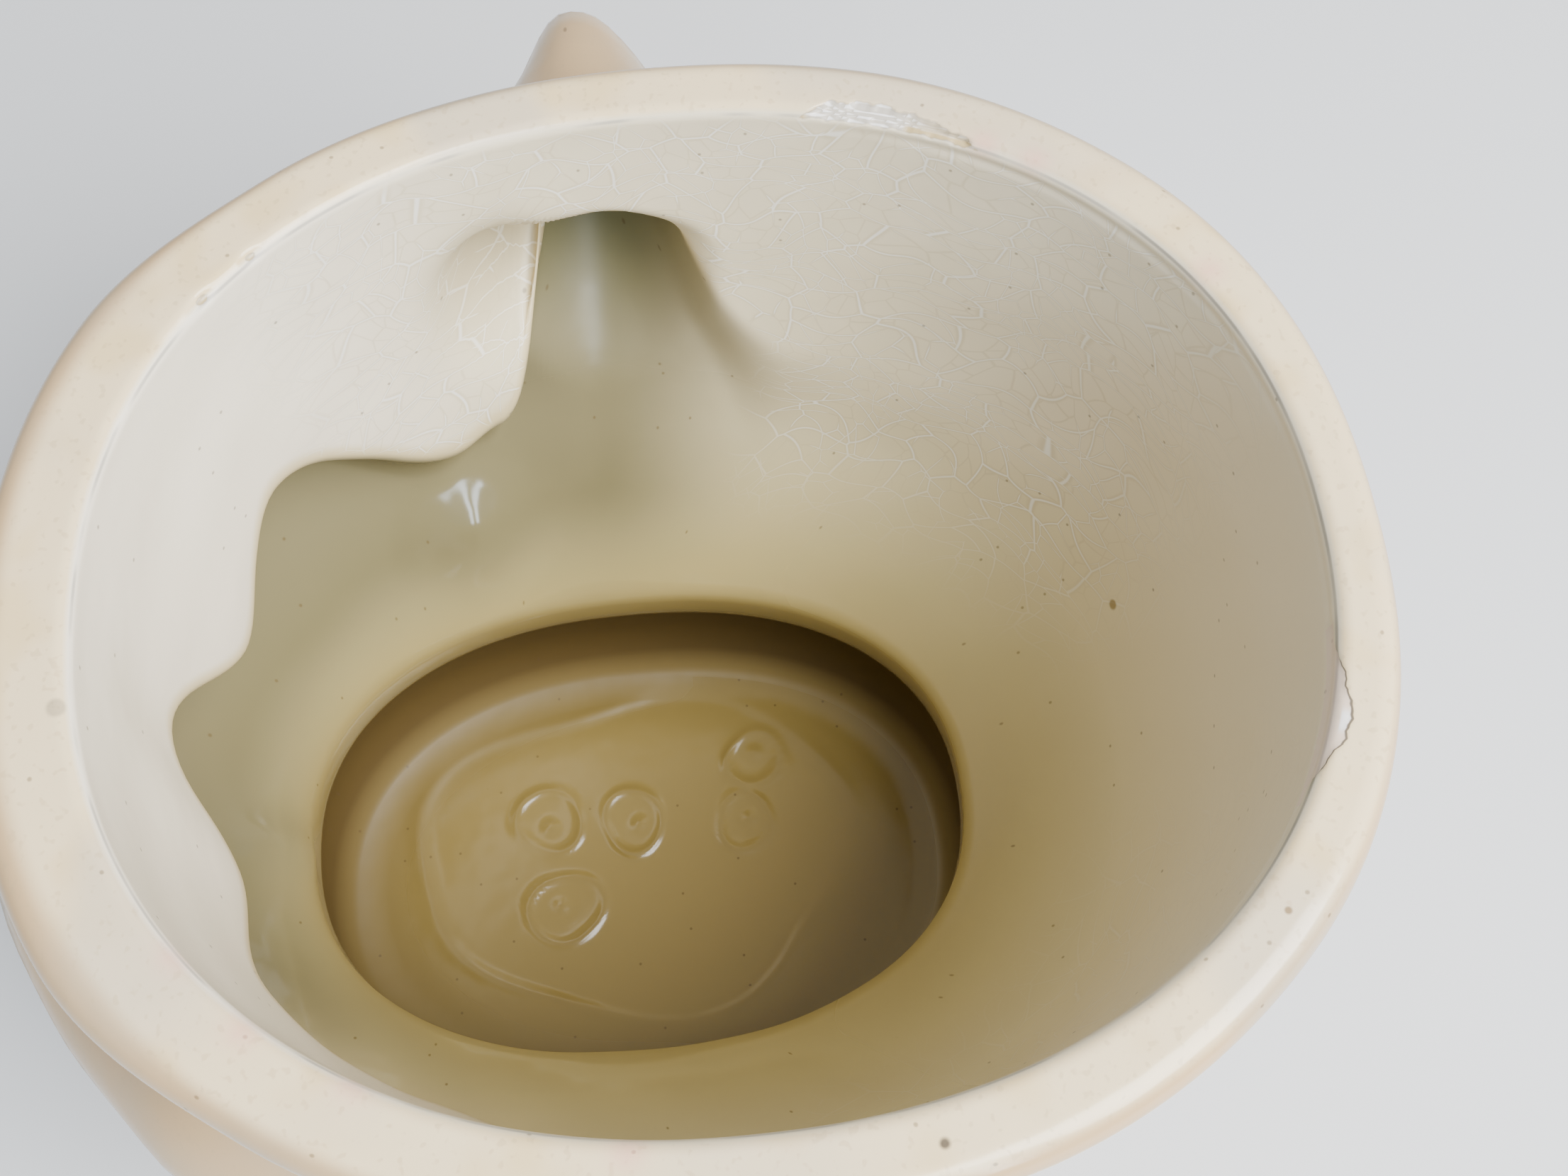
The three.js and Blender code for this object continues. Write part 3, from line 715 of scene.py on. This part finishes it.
for turn, stretch, cell in CRAZE_LAYERS:
    laid = add_node(tree, "ShaderNodeMapping", {"Vector": bent, "Rotation": (0.0, 0.0, turn),
                                                "Scale": (stretch / cell, 1 / cell, 1.0)})
    cells = add_node(tree, "ShaderNodeTexVoronoi", {"Vector": laid.outputs["Vector"], "Scale": 1.0},
                     voronoi_dimensions="2D", feature="DISTANCE_TO_EDGE")
    from_crack.append(cells.outputs["Distance"])
faded = combine("ADD", from_crack[1], band_mask(blotch, 0.52, 0.42, 0.03))
nearest = combine("MINIMUM", from_crack[0], faded)
# Tan band painted beside each crack as the shade of its raised edge, then the crack's pale core
colour = tint(colour, CRAZE_SHADE, product(craze_strength, band_mask(nearest, 0.09, 0.03, 0.34)))
colour = tint(colour, CRAZE_TONE, product(craze_strength, band_mask(nearest, 0.032, 0.008, 0.65)))

# Specks and pinholes: one cell in five of about 7 mm holds one, and traces of pink paint
SPECK_SCALE = 0.14
specks = add_node(tree, "ShaderNodeTexVoronoi", {"Vector": wall_place, "Scale": SPECK_SCALE},
                  voronoi_dimensions="2D")
chosen = add_node(tree, "ShaderNodeSeparateColor", {"Color": specks.outputs["Color"]}).outputs["Red"]
speck = product(band_mask(specks.outputs["Distance"], 0.06, 0.02), band_mask(chosen, 0.80, 0.81))
colour = tint(colour, SPECK_TONE, product(speck, 0.55))
colour = tint(colour, PINK_TONE, field("pink"))
MARK_FADE, MARK_FULL, MARK_RAGGED = 1.1 * MM, 0.5 * MM, 2.2 * MM
for middle, radius, tone, strength in MARKS:
    away = add_node(tree, "ShaderNodeVectorMath", {0: place, 1: middle}, operation="DISTANCE")
    wobble = product(combine("SUBTRACT", blotch, 0.5), MARK_RAGGED)
    away = combine("ADD", away.outputs["Value"], wobble)
    colour = tint(colour, tone, band_mask(away, radius * MARK_FADE, radius * MARK_FULL, strength))

# Painted shade of a thin groove just inside the rim, patchy grey, darker at the back where the rim's inner
# edge steps
groove_shade = product(band_mask(across_rim, -1.5, -1.0), band_mask(across_rim, -0.35, -0.8))
colour = tint(colour, GROOVE_SHADE_TONE, product(groove_shade, band_mask(blotch, 0.35, 0.6, 0.7)))
step_shade = product(groove_shade, band_mask(facing, 138.0, 150.0))
colour = tint(colour, STEP_SHADE_TONE, product(step_shade, 0.55))

# Damage: thin shells of white clay in the chip, stained at both ends, and a cracked flake
ragged = product(combine("SUBTRACT", grain, 0.5), 0.6)
chip_edge = combine("ADD", chip_mm, ragged)
chipped = band_mask(chip_edge, -0.05, 0.05)
shell_shade = product(band_mask(shell, 0.25, 0.45), band_mask(shell, 1.0, 0.8))
clay = tint(linear(CLAY_TONE), CLAY_GREY, shell_shade)
stained = combine("MAXIMUM", band_mask(facing, 116.0, 121.0, 0.75), band_mask(facing, 107.5, 105.0))
clay = tint(clay, CLAY_STAIN, product(stained, 0.6))
clay = tint(clay, CLAY_STAIN, product(band_mask(across_rim, 0.2, -0.8), band_mask(blotch, 0.42, 0.5)))
chip_outline = product(band_mask(chip_edge, -0.3, -0.05), band_mask(chip_edge, 0.3, 0.05))
colour = tint(colour, clay, chipped)
colour = tint(colour, CHIP_OUTLINE, product(chip_outline, 0.4))
flaked = band_mask(combine("ADD", flake_mm, product(ragged, 0.3)), -0.05, 0.05)
colour = tint(colour, FLAKE_TONE, product(flaked, 0.6))
flake_tip = product(band_mask(flake_mm, 0.05, 0.3), band_mask(facing, 157.0, 158.0),
                    band_mask(facing, 160.0, 159.0), band_mask(across_rim, 0.9, 1.4))
colour = tint(colour, CLAY_TONE, flake_tip)
from_break = combine("ABSOLUTE", combine("ADD", flake_mm, product(ragged, 0.4)), 0.0)
crack = product(band_mask(from_break, 0.24, 0.08), band_mask(across_rim, -0.8, 0.0))
colour = tint(colour, CRACK_TONE, product(crack, 0.85))
tree.links.new(colour, shader.inputs["Base Color"])

# Gloss: like wet glass low in the bowl, softer on the floor, in the hollows and round the back,
# duller on the handled rim and outside, and matt where clay is bare
HANDLED, GLASSY = 0.17, 0.09
FLOOR_DULL, CORNER_DULL, HOLLOW_DULL, SATIN, CLAY_DULL = 0.18, 0.8, 0.55, 0.42, 0.32
DEEP_DULL = 1.4
dull = add_node(tree, "ShaderNodeMix", {0: inside, 2: HANDLED, 3: GLASSY}).outputs[0]
satin = combine("MAXIMUM", product(band_mask(facing, 82.0, 150.0, SATIN), band_mask(height, 0.044, 0.062)),
                band_mask(height, 0.080, 0.108, SATIN))
corner_dull = product(band_mask(height, 0.0085, 0.0105), band_mask(height, 0.050, 0.035, CORNER_DULL))
for roughness in (band_mask(height, 0.050, 0.040, FLOOR_DULL), corner_dull,
                  band_mask(pool_and_shade_share, 0.1, 0.6, HOLLOW_DULL), product(satin, inside),
                  product(deep_share, DEEP_DULL), product(chipped, CLAY_DULL)):
    dull = combine("MAXIMUM", dull, roughness)
tree.links.new(dull, shader.inputs["Roughness"])
bump = add_node(tree, "ShaderNodeBump", {"Height": noise(240.0, 0.0), "Strength": 0.35, "Distance": 0.0002})
tree.links.new(bump.outputs["Normal"], shader.inputs["Normal"])
jar_mesh.materials.append(glaze)

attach(jar, "root")
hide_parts("jar_body")
